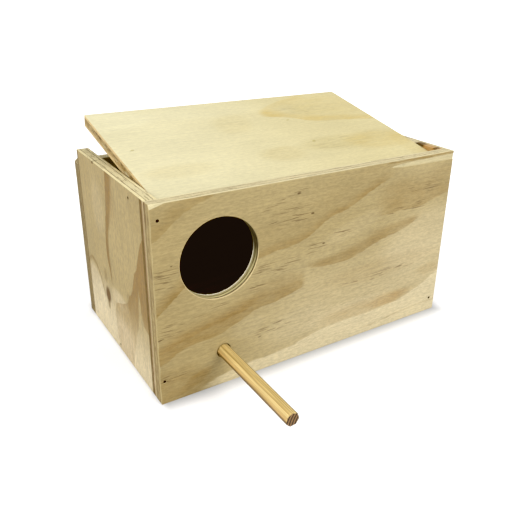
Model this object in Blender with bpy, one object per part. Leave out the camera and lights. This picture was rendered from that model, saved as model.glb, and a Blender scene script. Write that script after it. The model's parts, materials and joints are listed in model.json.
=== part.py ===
"""Lovebird nest box made of three-ply panels, in metres with +Z up.

The origin is the centre of the box's underside, and the front faces -Y. The front and back panels
cover the ends of the two sides, the floor lies between all four, and the lid drops between the sides
on to the top of the back panel. The lid turns on one nail through each side, near its front end, and
is drawn ajar. The dowel perch is pushed through the front panel, below the entrance hole.
"""

import math

import bmesh
import bpy
from mathutils import Matrix, Vector

# Outside of the box
BOX_WIDTH = 0.254
BOX_DEPTH = 0.151
BOX_HEIGHT = 0.1415

# Sheet that the panels are cut from, and how they meet
PLY = 0.009
ARRIS = 0.0004
JOINT_GAP = 0.0003
BACK_CHIP = 0.0024

# Entrance hole, in the front panel
HOLE_DIAMETER = 0.057
HOLE_OFFSET = 0.081
HOLE_HEIGHT = 0.0971

# Perch, a length of dowel
PERCH_DIAMETER = 0.0095
PERCH_REACH = 0.0842
PERCH_OFFSET = 0.0798
PERCH_HEIGHT = 0.0271
PERCH_ARRIS = 0.0006
PERCH_CLEARANCE = 0.0004

# Lid and its pivot
PIVOT_SETBACK = 0.0347
PIVOT_DEPTH = 0.006
LID_LEFT_GAP = 0.0011
LID_RIGHT_GAP = 0.0004
LID_SWEEP_CLEARANCE = 0.0008
LID_AJAR_ANGLE = math.radians(11.8)

# Panel pins
NAIL_SHANK_DIAMETER = 0.0014
NAIL_HEAD_DIAMETER = 0.002
NAIL_HEAD_RIM = 0.0004
NAIL_HEAD_CONE = 0.0006
NAIL_LENGTH = 0.028
NAIL_POINT = 0.0028
NAIL_PUNCH = 0.0003
NAIL_CLEARANCE = 0.0003

# Nails into the ends of the sides, each with the share of the side's thickness that it stands in from
# the outer face, and the share of the box's height that it stands up
FRONT_LEFT_NAIL_SHARES = {"_top": (0.54, 0.926), "_bottom": (0.33, 0.125)}
FRONT_RIGHT_NAIL_SHARES = {"_bottom": (0.66, 0.083)}
BACK_NAIL_SHARES = {"_top": (0.5, 0.8), "_bottom": (0.5, 0.15)}
# Nails into the edges of the floor, each with its share of the box's depth or width, and the share of
# the floor's thickness that it stands up
FLOOR_SIDE_NAIL_SHARES = {"": (0.52, 0.44)}
FLOOR_BACK_NAIL_SHARES = {"_left": (0.22, 0.5), "_right": (0.78, 0.5)}

# Making
CUT_OVERRUN = 0.002
WELD = 0.000001
HOLE_STEPS = 64
DOWEL_STEPS = 32
NAIL_STEPS = 12
SMOOTH_ANGLE = math.radians(35)

# Places that follow from the sizes above
HALF_WIDTH = BOX_WIDTH / 2
FRONT_FACE = -BOX_DEPTH / 2
BACK_FACE = BOX_DEPTH / 2
INNER_HALF_WIDTH = HALF_WIDTH - PLY
SIDE_FRONT = FRONT_FACE + PLY + JOINT_GAP
SIDE_BACK = BACK_FACE - PLY - JOINT_GAP
PIVOT = Vector((0, FRONT_FACE + PIVOT_SETBACK, BOX_HEIGHT - PIVOT_DEPTH))

# Turns that point a nail's head, or a dowel's free end, out of a face of the box
OUT_OF_FRONT = Matrix.Rotation(math.radians(90), 4, "X")
OUT_OF_BACK = Matrix.Rotation(math.radians(-90), 4, "X")
OUT_OF_LEFT = Matrix.Rotation(math.radians(-90), 4, "Y")
OUT_OF_RIGHT = Matrix.Rotation(math.radians(90), 4, "Y")


def clear_scene():
    for obj in list(bpy.data.objects):
        bpy.data.objects.remove(obj, do_unlink=True)


def make_finish(name, colour, roughness, metallic=0):
    finish = bpy.data.materials.new(name)
    finish.use_nodes = True
    shader = finish.node_tree.nodes["Principled BSDF"]
    shader.inputs["Base Color"].default_value = (*colour, 1)
    shader.inputs["Roughness"].default_value = roughness
    shader.inputs["Metallic"].default_value = metallic
    return finish


def add_piece(name, bm, finish, parent=None, place=None):
    """Link a piece with this mesh, smooth over its round surfaces and sharp at its corners.

    Its place is counted from its parent.
    """
    bmesh.ops.recalc_face_normals(bm, faces=bm.faces)
    mesh = bpy.data.meshes.new(name)
    bm.to_mesh(mesh)
    bm.free()
    mesh.shade_smooth()
    mesh.set_sharp_from_angle(angle=SMOOTH_ANGLE)
    mesh.materials.append(finish)
    piece = bpy.data.objects.new(name, mesh)
    bpy.context.scene.collection.objects.link(piece)
    piece.parent = parent
    if place:
        piece.matrix_local = place
    return piece


def add_cutter(name, bm, finish, parent=None, place=None):
    cutter = add_piece(name, bm, finish, parent, place)
    cutter.hide_render = True
    cutter.display_type = "WIRE"
    return cutter


def cut(board, cutter):
    bite = board.modifiers.new(cutter.name, "BOOLEAN")
    bite.operation = "DIFFERENCE"
    bite.solver = "EXACT"
    bite.object = cutter


def board_mesh(low, high):
    """A board between two opposite corners."""
    bm = bmesh.new()
    middle = Matrix.Translation((low + high) / 2)
    bmesh.ops.create_cube(bm, size=1, matrix=middle @ Matrix.Diagonal((*(high - low), 1)))
    return bm


def add_board(name, bm, finish, parent=None):
    """A panel whose sawn arrises are eased with sandpaper."""
    board = add_piece(name, bm, finish, parent)
    eased = board.modifiers.new("eased_arrises", "BEVEL")
    eased.width = ARRIS
    eased.segments = 1
    eased.limit_method = "ANGLE"
    eased.angle_limit = SMOOTH_ANGLE
    return board


def turned_mesh(profile, steps):
    """A profile of (radius, height) points, turned about Z into a closed shell."""
    bm = bmesh.new()
    points = [bm.verts.new((radius, 0, height)) for radius, height in profile]
    edges = [bm.edges.new(pair) for pair in zip(points, points[1:])]
    bmesh.ops.spin(
        bm,
        geom=points + edges,
        cent=(0, 0, 0),
        axis=(0, 0, 1),
        angle=2 * math.pi,
        steps=steps,
        use_merge=True,
    )
    bmesh.ops.remove_doubles(bm, verts=bm.verts, dist=WELD)
    return bm


def rod_profile(radius, bottom, top, arris=0):
    """Half the outline of a rod along Z, from its bottom to its top, with its ends chamfered by arris."""
    inner = radius - arris
    return [(0, bottom), (inner, bottom), (radius, bottom + arris), (radius, top - arris), (inner, top), (0, top)]


def nail_profile(clearance=0):
    """Half the outline of a panel pin whose head's top is at 0, or of its hole with this clearance."""
    shank = NAIL_SHANK_DIAMETER / 2 + clearance
    head = NAIL_HEAD_DIAMETER / 2 + clearance
    neck = -NAIL_HEAD_RIM - NAIL_HEAD_CONE - clearance
    mouth = NAIL_PUNCH + CUT_OVERRUN if clearance else 0
    return [
        (0, -NAIL_LENGTH - clearance),
        (shank, -NAIL_LENGTH + NAIL_POINT),
        (shank, neck),
        (head, neck + NAIL_HEAD_CONE),
        (head, mouth),
        (0, mouth),
    ]


def drive_nail(name, place, boards, finishes, parent=None):
    """Nail two boards together: the nail's head is punched just below the surface that it goes in by."""
    sunk = place @ Matrix.Translation((0, 0, -NAIL_PUNCH))
    steel = finishes["nail_steel"]
    add_piece(name, turned_mesh(nail_profile(), NAIL_STEPS), steel, parent, sunk)
    hole = turned_mesh(nail_profile(NAIL_CLEARANCE), NAIL_STEPS)
    cutter = add_cutter(name + "_hole", hole, steel, parent, sunk)
    for board in boards:
        cut(board, cutter)


def make_front_panel(finishes):
    low = Vector((-HALF_WIDTH, FRONT_FACE, 0))
    high = Vector((HALF_WIDTH, FRONT_FACE + PLY, BOX_HEIGHT))
    front = add_board("front_panel", board_mesh(low, high), finishes["plywood"])
    depth = (-PLY - CUT_OVERRUN, CUT_OVERRUN)
    entrance = Matrix.Translation((-HOLE_OFFSET, FRONT_FACE, HOLE_HEIGHT)) @ OUT_OF_FRONT
    hole = turned_mesh(rod_profile(HOLE_DIAMETER / 2, *depth), HOLE_STEPS)
    cut(front, add_cutter("entrance_hole", hole, finishes["plywood"], place=entrance))
    socket = turned_mesh(rod_profile(PERCH_DIAMETER / 2 + PERCH_CLEARANCE, *depth), DOWEL_STEPS)
    cut(front, add_cutter("perch_socket", socket, finishes["plywood"], place=perch_place()))
    return front


def make_side_panel(name, side, finishes):
    """The left panel has side -1, and the right one 1."""
    outer = side * HALF_WIDTH
    inner = side * INNER_HALF_WIDTH
    low = Vector((min(outer, inner), SIDE_FRONT, 0))
    high = Vector((max(outer, inner), SIDE_BACK, BOX_HEIGHT))
    return add_board(name, board_mesh(low, high), finishes["plywood"])


def make_back_panel(finishes):
    """The back is lower than the sides by the lid's thickness, and its top left corner is broken off."""
    low = Vector((-HALF_WIDTH, BACK_FACE - PLY, 0))
    high = Vector((HALF_WIDTH, BACK_FACE, BOX_HEIGHT - PLY - JOINT_GAP))
    bm = board_mesh(low, high)
    corner = [edge for edge in bm.edges if all(vert.co.x < 0 and vert.co.z > PLY for vert in edge.verts)]
    bmesh.ops.bevel(bm, geom=corner, offset=BACK_CHIP, offset_type="OFFSET", segments=1, affect="EDGES")
    return add_board("back_panel", bm, finishes["plywood"])


def make_floor_panel(finishes):
    low = Vector((-INNER_HALF_WIDTH + JOINT_GAP, SIDE_FRONT, 0))
    high = Vector((INNER_HALF_WIDTH - JOINT_GAP, SIDE_BACK, PLY))
    return add_board("floor_panel", board_mesh(low, high), finishes["plywood"])


def make_lid_hinge():
    """An empty on the line of the two pivot nails, turned to where the lid stands ajar."""
    hinge = bpy.data.objects.new("lid_hinge", None)
    bpy.context.scene.collection.objects.link(hinge)
    hinge.location = PIVOT
    hinge.rotation_euler.x = LID_AJAR_ANGLE
    return hinge


def make_lid_panel(hinge, finishes):
    """The lid, drawn shut about its hinge: flush with the tops of the sides and the face of the back.

    Its front corners swing on the longer of the two arms from the pivot, so its front end stops short
    of the front panel by enough for that arm to pass.
    """
    arm = PIVOT_SETBACK - PLY - LID_SWEEP_CLEARANCE
    front_run = math.sqrt(arm**2 - max(PIVOT_DEPTH, PLY - PIVOT_DEPTH) ** 2)
    rear_run = BOX_DEPTH - PIVOT_SETBACK
    low = Vector((-INNER_HALF_WIDTH + LID_LEFT_GAP, -front_run, PIVOT_DEPTH - PLY))
    high = Vector((INNER_HALF_WIDTH - LID_RIGHT_GAP, rear_run, PIVOT_DEPTH))
    return add_board("lid_panel", board_mesh(low, high), finishes["lid_plywood"], hinge)


def perch_place():
    return Matrix.Translation((-PERCH_OFFSET, FRONT_FACE, PERCH_HEIGHT)) @ OUT_OF_FRONT


def make_perch(finishes):
    """The dowel ends flush with the inner face of the front panel."""
    profile = rod_profile(PERCH_DIAMETER / 2, -PLY, PERCH_REACH, PERCH_ARRIS)
    add_piece("perch", turned_mesh(profile, DOWEL_STEPS), finishes["dowel"], place=perch_place())


def nail_to_side(name, cover, side_panel, side, face, turn, shares, finishes):
    """Nail the front or the back panel to the end of a side panel."""
    for suffix, (across, up) in shares.items():
        place = Matrix.Translation((side * (HALF_WIDTH - across * PLY), face, up * BOX_HEIGHT)) @ turn
        drive_nail(name + suffix, place, (cover, side_panel), finishes)


def nail_floor_to_side(name, side_panel, floor, side, turn, finishes):
    for suffix, (back, up) in FLOOR_SIDE_NAIL_SHARES.items():
        place = Matrix.Translation((side * HALF_WIDTH, FRONT_FACE + back * BOX_DEPTH, up * PLY)) @ turn
        drive_nail(name + suffix, place, (side_panel, floor), finishes)


def nail_floor_to_back(name, back, floor, finishes):
    for suffix, (along, up) in FLOOR_BACK_NAIL_SHARES.items():
        place = Matrix.Translation((-HALF_WIDTH + along * BOX_WIDTH, BACK_FACE, up * PLY)) @ OUT_OF_BACK
        drive_nail(name + suffix, place, (back, floor), finishes)


def nail_panels(front, back, left, right, floor, finishes):
    front_end = (FRONT_FACE, OUT_OF_FRONT)
    back_end = (BACK_FACE, OUT_OF_BACK)
    nail_to_side("front_left_nail", front, left, -1, *front_end, FRONT_LEFT_NAIL_SHARES, finishes)
    nail_to_side("front_right_nail", front, right, 1, *front_end, FRONT_RIGHT_NAIL_SHARES, finishes)
    nail_to_side("back_left_nail", back, left, -1, *back_end, BACK_NAIL_SHARES, finishes)
    nail_to_side("back_right_nail", back, right, 1, *back_end, BACK_NAIL_SHARES, finishes)
    nail_floor_to_side("floor_left_nail", left, floor, -1, OUT_OF_LEFT, finishes)
    nail_floor_to_side("floor_right_nail", right, floor, 1, OUT_OF_RIGHT, finishes)
    nail_floor_to_back("floor_back_nail", back, floor, finishes)


def hang_lid(lid, left, right, hinge, finishes):
    """One nail through each side into the edge of the lid, on the hinge line, carries the lid."""
    left_place = Matrix.Translation((-HALF_WIDTH, 0, 0)) @ OUT_OF_LEFT
    right_place = Matrix.Translation((HALF_WIDTH, 0, 0)) @ OUT_OF_RIGHT
    drive_nail("lid_pivot_nail_left", left_place, (left, lid), finishes, hinge)
    drive_nail("lid_pivot_nail_right", right_place, (right, lid), finishes, hinge)


def main():
    clear_scene()
    finishes = {
        "plywood": make_finish("plywood", (0.56, 0.42, 0.22), 0.62),
        "lid_plywood": make_finish("lid_plywood", (0.82, 0.72, 0.46), 0.58),
        "dowel": make_finish("dowel", (0.78, 0.54, 0.24), 0.5),
        "nail_steel": make_finish("nail_steel", (0.16, 0.13, 0.1), 0.45, 1),
    }
    front = make_front_panel(finishes)
    left = make_side_panel("left_side_panel", -1, finishes)
    right = make_side_panel("right_side_panel", 1, finishes)
    back = make_back_panel(finishes)
    floor = make_floor_panel(finishes)
    nail_panels(front, back, left, right, floor, finishes)
    make_perch(finishes)
    hinge = make_lid_hinge()
    lid = make_lid_panel(hinge, finishes)
    hang_lid(lid, left, right, hinge, finishes)


main()
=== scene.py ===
"""Looks of the nailed three-ply nest box: sawn and sanded boards, their figured veneers, the dowel
perch and the punched nails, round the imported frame. Metres, +Z up, and the front faces -Y.
"""

import json
import math

import bmesh
import bpy
from mathutils import Matrix, Vector


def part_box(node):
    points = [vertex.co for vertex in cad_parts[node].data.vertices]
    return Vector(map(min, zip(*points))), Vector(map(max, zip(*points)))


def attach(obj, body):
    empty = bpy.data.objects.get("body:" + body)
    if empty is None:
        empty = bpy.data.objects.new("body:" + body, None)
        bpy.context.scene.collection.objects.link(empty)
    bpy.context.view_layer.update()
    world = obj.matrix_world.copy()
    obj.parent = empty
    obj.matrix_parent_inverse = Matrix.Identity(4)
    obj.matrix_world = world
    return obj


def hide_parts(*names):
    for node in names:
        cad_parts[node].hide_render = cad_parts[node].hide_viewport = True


MM = 0.001

# Camera
CAMERA_PLACE = (-0.24507, -0.38842, 0.26294)
CAMERA_TURN = (66.1944, -1.2865, -33.1579)
CAMERA_LENS = 42.59
CAMERA_SHIFT = (-0.045416, -0.022452)

# Half the box's footprint
FOOT = (127 * MM, 75.5 * MM)

# Three-ply sheet: two face veneers glued to a core whose grain runs across theirs
SHEET = 9 * MM
FACE_VENEER = 2.3 * MM
GLUE_GROOVE = 0.2 * MM
GLUE_DEPTHS = (FACE_VENEER, SHEET - FACE_VENEER)
ARRIS = 0.28 * MM
ARRIS_WEAR = 0.12 * MM
GROOVE_WEAR = 0.3 * MM
CELL = 2.5 * MM

# Bores and breaks
OVERRUN = 1 * MM
ENTRANCE = {"x": -81 * MM, "z": 97.1 * MM, "radius": 28.5 * MM, "flare": 0.4 * MM, "sides": 360}
# The socket's painted shade reaches this far out round the perch's root
SOCKET = {"x": -79.8 * MM, "z": 27.1 * MM, "shade_reach": 5.7 * MM, "sides": 48}
# The saw broke the entrance's rear rim away this deep and this far out, and left it frayed
BREAK_DEPTH = 1.7 * MM
BREAK_REACH = 2 * MM
FRAY = 1.15 * MM
FRAY_GRAIN = 1 * MM
SOCKET_CLEARANCE = 0.4 * MM
NAIL_PUNCH = 0.3 * MM
NAIL_SHANK = 0.7 * MM
NAIL_NECK = 1.3 * MM
NAIL_CLEARANCE = 0.15 * MM
NAIL_DENT = 1.7 * MM
NAIL_SIDES = 20
BACK_CHIP = 2.4 * MM
FORWARD = Vector((0, -1, 0))

# The dowel's free end is trimmed by this many knife cuts
DOWEL_SIDES = 64
DOWEL_CUTS = 7
DOWEL_RING = 2.1 * MM

# Faces that meet at less than this are shaded as one
SMOOTH_ANGLE = math.radians(32)

# The drawn figure of a board is a set of edges, each a curve that gives the place across the grain
# from the place along it, both within this span about the board's origin
FIGURE_SPAN = 0.3

# Each board's face grain, its width and its layers run along these axes, and its outer face looks
# along the last one with this sign
BOARDS = {
    "front_panel": ("XZY", -1),
    "back_panel": ("XZY", 1),
    "left_side_panel": ("ZYX", -1),
    "right_side_panel": ("ZYX", 1),
    "floor_panel": ("XYZ", -1),
    "lid_panel": ("XYZ", 1),
}


def board_axes(name):
    """The axes of a board's grain, width and layers, and the sign of its outer face."""
    letters, outward = BOARDS[name]
    return [*("XYZ".index(letter) for letter in letters), outward]


class Graph:
    """A node tree, with a short call for each node that the finishes use."""

    def __init__(self, tree):
        self.tree = tree

    def node(self, kind, **settings):
        made = self.tree.nodes.new(kind)
        for name, value in settings.items():
            setattr(made, name, value)
        return made

    def feed(self, socket, value):
        """Links or sets a socket. A colour is given by its three values."""
        if isinstance(value, bpy.types.NodeSocket):
            self.tree.links.new(value, socket)
        else:
            socket.default_value = (*value, 1) if socket.type == "RGBA" else value

    def fill(self, sockets, values):
        for socket, value in zip(sockets, values):
            self.feed(socket, value)

    def math(self, operation, *values, clamp=False):
        made = self.node("ShaderNodeMath", operation=operation, use_clamp=clamp)
        self.fill(made.inputs, values)
        return made.outputs[0]

    def fold(self, operation, values):
        total = values[0]
        for value in values[1:]:
            total = self.math(operation, total, value)
        return total

    def add(self, *values):
        return self.fold("ADD", values)

    def times(self, *values):
        return self.fold("MULTIPLY", values)

    def most(self, *values):
        return self.fold("MAXIMUM", values)

    def less(self, a, b):
        return self.math("SUBTRACT", a, b)

    def size(self, value):
        return self.math("ABSOLUTE", value)

    def gap(self, a, b):
        return self.size(self.less(a, b))

    def length(self, x, y):
        return self.math("SQRT", self.add(self.times(x, x), self.times(y, y)))

    def invert(self, value):
        return self.math("SUBTRACT", 1.0, value, clamp=True)

    def rise(self, value, low, high, out_low=0.0, out_high=1.0):
        """Smooth step of value from low to high; high may be the lower of the two."""
        made = self.node("ShaderNodeMapRange", interpolation_type="SMOOTHSTEP")
        self.fill(made.inputs[:5], (value, low, high, out_low, out_high))
        return made.outputs["Result"]

    def ramp(self, value, low, high, out_low=0.0, out_high=1.0):
        """Smooth step of a length, whose low and high are in millimetres."""
        return self.rise(value, low * MM, high * MM, out_low, out_high)

    def vector(self, *parts):
        made = self.node("ShaderNodeCombineXYZ")
        self.fill(made.inputs, parts)
        return made.outputs[0]

    def split(self, vector):
        made = self.node("ShaderNodeSeparateXYZ")
        self.feed(made.inputs[0], vector)
        return tuple(made.outputs)

    def noise(self, vector, scale=1.0, detail=2.0, roughness=0.5):
        made = self.node("ShaderNodeTexNoise")
        sockets = [made.inputs[name] for name in ("Vector", "Scale", "Detail", "Roughness")]
        self.fill(sockets, (vector, scale, detail, roughness))
        return made.outputs["Fac"]

    def field(self, places, scales, detail=2.0, roughness=0.5, shift=0.0):
        """Noise with a scale of its own along each place; shift gives two places another slice of it."""
        parts = [self.times(place, scale) for place, scale in zip(places, scales)]
        return self.noise(self.vector(*(parts + [shift])[:3]), 1.0, detail, roughness)

    def mix(self, factor, a, b):
        made = self.node("ShaderNodeMix", data_type="RGBA")
        self.fill((made.inputs[0], made.inputs[6], made.inputs[7]), (factor, a, b))
        return made.outputs[2]

    def mix_value(self, factor, a, b):
        made = self.node("ShaderNodeMix", data_type="FLOAT")
        self.fill((made.inputs[0], made.inputs[2], made.inputs[3]), (factor, a, b))
        return made.outputs[0]

    def shade(self, colour, factor):
        """The colour made lighter or darker by a factor."""
        made = self.node("ShaderNodeVectorMath", operation="SCALE")
        self.fill((made.inputs[0], made.inputs["Scale"]), (colour, factor))
        return made.outputs[0]

    def curve(self, value, points):
        """The value at this place on a smooth curve through points, which are in millimetres."""
        made = self.node("ShaderNodeFloatCurve")
        line = made.mapping.curves[0]
        shares = sorted((x * MM / FIGURE_SPAN + 0.5, y * MM / FIGURE_SPAN + 0.5) for x, y in points)
        for share in shares[1:-1]:
            line.points.new(*share)
        for point, share in zip(line.points, shares):
            point.location = share
            point.handle_type = "AUTO_CLAMPED"
        made.mapping.update()
        self.feed(made.inputs["Value"], self.math("MULTIPLY_ADD", value, 1 / FIGURE_SPAN, 0.5))
        return self.math("MULTIPLY_ADD", made.outputs[0], FIGURE_SPAN, -FIGURE_SPAN / 2)

    def use(self, group, **given):
        """Places a shared group, with given at its inputs."""
        made = self.node("ShaderNodeGroup", node_tree=bpy.data.node_groups[group])
        for name, value in given.items():
            self.feed(made.inputs[name], value)
        return made.outputs

    def oval(self, along, across, u, v, half_u, half_v, slope=0.0):
        """An oval spot on a board, placed and sized in millimetres."""
        return self.use("oval_patch", Along=along, Across=across, U=u * MM, V=v * MM,
                        Half_U=half_u * MM, Half_V=half_v * MM, Slope=slope)["Mask"]


def build_grain(g, along, across, depth, strength):
    """Fine wood grain. Streaks are the light and dark fibres, and pores the short dark dashes."""

    def layer(run, cross, detail, roughness):
        return g.field((along, across, depth), (run, cross, cross), detail, roughness)

    fibre, broad, fleck = layer(36, 480, 3, 0.6), layer(8, 150, 2, 0.5), layer(230, 780, 3, 0.7)
    shares = ((fibre, 0.38), (broad, 0.12), (fleck, 0.8))
    swing = g.add(*(g.times(g.less(noise, 0.5), share) for noise, share in shares))
    streaks = g.add(g.times(swing, strength), 0.5)
    pores = g.rise(layer(70, 1000, 1, 0.5), 0.56, 0.64)
    return streaks, pores


def build_ring(g, along, across, edge, limit, hold, start, end, taper, soft):
    """A growth ring's late wood: from its sharp edge it fades away towards its limit.

    It stays full for the hold's share of the way, runs from start to end along the grain and tapers there.
    """
    way = g.less(limit, edge)
    share = g.math("DIVIDE", g.less(across, edge), way)
    blur = g.math("DIVIDE", soft, g.size(way))
    body = g.times(g.rise(share, 0.0, blur), g.rise(share, 1.0, hold))
    first = g.rise(along, start, g.add(start, taper))
    last = g.rise(along, end, g.less(end, taper))
    return (g.times(body, first, last),)


def build_patch(g, along, across, u, v, half_u, half_v, slope):
    """An oval spot about (u, v), whose long axis climbs by slope."""
    du = g.less(along, u)
    dv = g.less(g.less(across, v), g.times(du, slope))
    away = g.length(g.math("DIVIDE", du, half_u), g.math("DIVIDE", dv, half_v))
    return (g.rise(away, 1.25, 0.55),)


def build_cathedral(g, along, across, depth, peak, middle, spacing):
    """The arched rings of a plain peeled veneer: nested ovals about a peak, each dark at its outer edge."""
    wander = g.field((along, across, depth), (9, 26, 5))
    radius = g.length(g.times(g.less(along, peak), 0.16), g.less(across, middle))
    turns = g.math("DIVIDE", g.add(radius, g.times(wander, 0.022)), spacing)
    share = g.math("FRACT", turns)
    return (g.times(g.rise(share, 0.35, 0.93), g.rise(share, 1.0, 0.94)),)


def build_layers(g, along, across, depth, thickness):
    """The sheet's section: raw is 1 off the two faces, core and glue tell the layers."""
    wobble = g.field((along, across), (90, 90))
    place = g.add(depth, g.math("MULTIPLY_ADD", wobble, 0.6 * MM, -0.3 * MM))
    from_face = g.math("MINIMUM", depth, g.less(thickness, depth))
    inside = g.math("MINIMUM", place, g.less(thickness, place))
    raw = g.ramp(from_face, 0.06, 0.16)
    core = g.rise(inside, FACE_VENEER - 0.1 * MM, FACE_VENEER + 0.1 * MM)
    glue = g.ramp(g.gap(inside, FACE_VENEER), 0.42, 0.12)
    return raw, core, glue


SECTION_COLOURS = {
    "veneer_long": (0.69, 0.605, 0.35),
    "core_end": (0.60, 0.51, 0.29),
    "glue": (0.17, 0.105, 0.045),
    "streak": (0.20, 0.135, 0.055),
}


def build_section(g, along, across, depth, core, glue, end, torn, end_colour):
    """Colour and height of a raw edge. End is 1 where it cuts the face grain and shows its colour."""
    c = SECTION_COLOURS
    places = (along, across, depth)
    speckle = g.field(places, (700, 700, 1100), 3, 0.7)
    broad = g.field(places, (60, 60, 300))
    run = g.field(places, (110, 110, 950))
    veneer = g.mix(end, c["veneer_long"], end_colour)
    inner = g.mix(end, c["core_end"], g.shade(end_colour, 0.88))
    colour = g.shade(g.mix(core, veneer, inner), g.add(0.62, g.times(speckle, 0.48), g.times(broad, 0.28)))
    streak = g.times(g.rise(run, 0.56, 0.66), g.add(0.32, g.times(core, 0.3), g.times(end, 0.12)))
    colour = g.mix(streak, colour, c["streak"])
    gap = g.times(glue, g.invert(torn), g.rise(broad, 0.36, 0.62, 0.35, 0.9))
    colour = g.mix(gap, colour, c["glue"])
    height = g.add(g.times(speckle, 0.12 * MM), g.times(gap, -0.2 * MM), g.times(streak, -0.15 * MM))
    return colour, height


def build_face(g, streaks, late, warm, sap, dash, early_colour, late_colour, warm_colour, sap_colour):
    """A sanded veneer's colour from its early wood, late wood, heartwood, sapwood and dark dashes; painted
    light and shade are laid in through the same channels.
    """
    colour = g.mix(sap, early_colour, sap_colour)
    colour = g.mix(late, colour, late_colour)
    colour = g.mix(warm, colour, warm_colour)
    colour = g.shade(colour, g.rise(streaks, 0.3, 0.7, 0.85, 1.13))
    return (g.mix(g.math("MULTIPLY", dash, 0.66, clamp=True), colour, (0.13, 0.08, 0.035)),)


# The shared groups: name, what builds it, inputs and outputs
GROUPS = (
    ("fine_grain", build_grain, "Along Across Depth Strength", "Streaks Pores"),
    ("late_wood_ring", build_ring, "Along Across Edge Limit Hold Start End Taper Soft", "Mask"),
    ("oval_patch", build_patch, "Along Across U V Half_U Half_V Slope", "Mask"),
    ("arched_rings", build_cathedral, "Along Across Depth Peak Middle Spacing", "Late"),
    ("ply_layers", build_layers, "Along Across Depth Thickness", "Raw Core Glue"),
    ("ply_section", build_section, "Along Across Depth Core Glue End Torn End_colour", "Colour Height"),
    ("veneer_face", build_face,
     "Streaks Late Warm Sap Dash Early_colour Late_colour Warm_colour Sap_colour", "Colour"),
)


def make_group(name, build, inputs, outputs):
    """A shader node group. A socket holds a colour if its name says so, and a plain value if not."""
    group = bpy.data.node_groups.new(name, "ShaderNodeTree")
    for way, titles in (("INPUT", inputs), ("OUTPUT", outputs)):
        for title in titles.split():
            kind = "Color" if "colour" in title.lower() else "Float"
            group.interface.new_socket(title, in_out=way, socket_type="NodeSocket" + kind)
    g = Graph(group)
    start, end = g.node("NodeGroupInput"), g.node("NodeGroupOutput")
    g.fill(end.inputs, build(g, *start.outputs[:len(inputs.split())]))


class Figure:
    """The drawn figure of one veneer, added up ring by ring from the places on its board."""

    def __init__(self, g, along, across):
        self.g, self.along = g, along
        waver = g.field((along, across), (70, 110), shift=3.0)
        rag = g.field((along, across), (60, 650), roughness=0.6, shift=7.0)
        drift = g.add(g.times(g.less(waver, 0.5), 2.4 * MM), g.times(g.less(rag, 0.5), 3.2 * MM))
        self.across = g.add(across, drift)
        self.cloud = g.field((along, across), (45, 160), 3.0, 0.6, shift=11.0)
        self.sums = dict.fromkeys(("late", "warm", "sap", "dash", "spot"), 0.0)

    def ring(self, edge, limit, start=-150, end=150, hold=0.0, taper=8, soft=0.9, **amounts):
        """A ring from its edge to its limit, a distance or a second edge; places in millimetres."""
        g = self.g
        low = g.curve(self.along, edge)
        high = g.curve(self.along, limit) if isinstance(limit, list) else g.add(low, limit * MM)
        mask = g.use(
            "late_wood_ring",
            Along=self.along, Across=self.across, Edge=low, Limit=high, Hold=hold,
            Start=start * MM, End=end * MM, Taper=taper * MM, Soft=soft * MM,
        )["Mask"]
        self.lay(mask, **amounts)
        return mask

    def patch(self, u, v, half_u, half_v, slope=0.0, **amounts):
        self.lay(self.g.oval(self.along, self.across, u, v, half_u, half_v, slope), **amounts)

    def lay(self, mask, **amounts):
        """Adds the mask to its channels."""
        for channel, amount in amounts.items():
            self.sums[channel] = self.g.math("MULTIPLY_ADD", mask, amount, self.sums[channel])

    def total(self, channel):
        """All that the channel holds; late and warm wood is clouded."""
        whole = self.g.math("MINIMUM", self.sums[channel], 1.0)
        if channel in ("late", "warm"):
            whole = self.g.times(whole, self.g.rise(self.cloud, 0.3, 0.7, 0.72, 1.2))
        return whole


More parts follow.
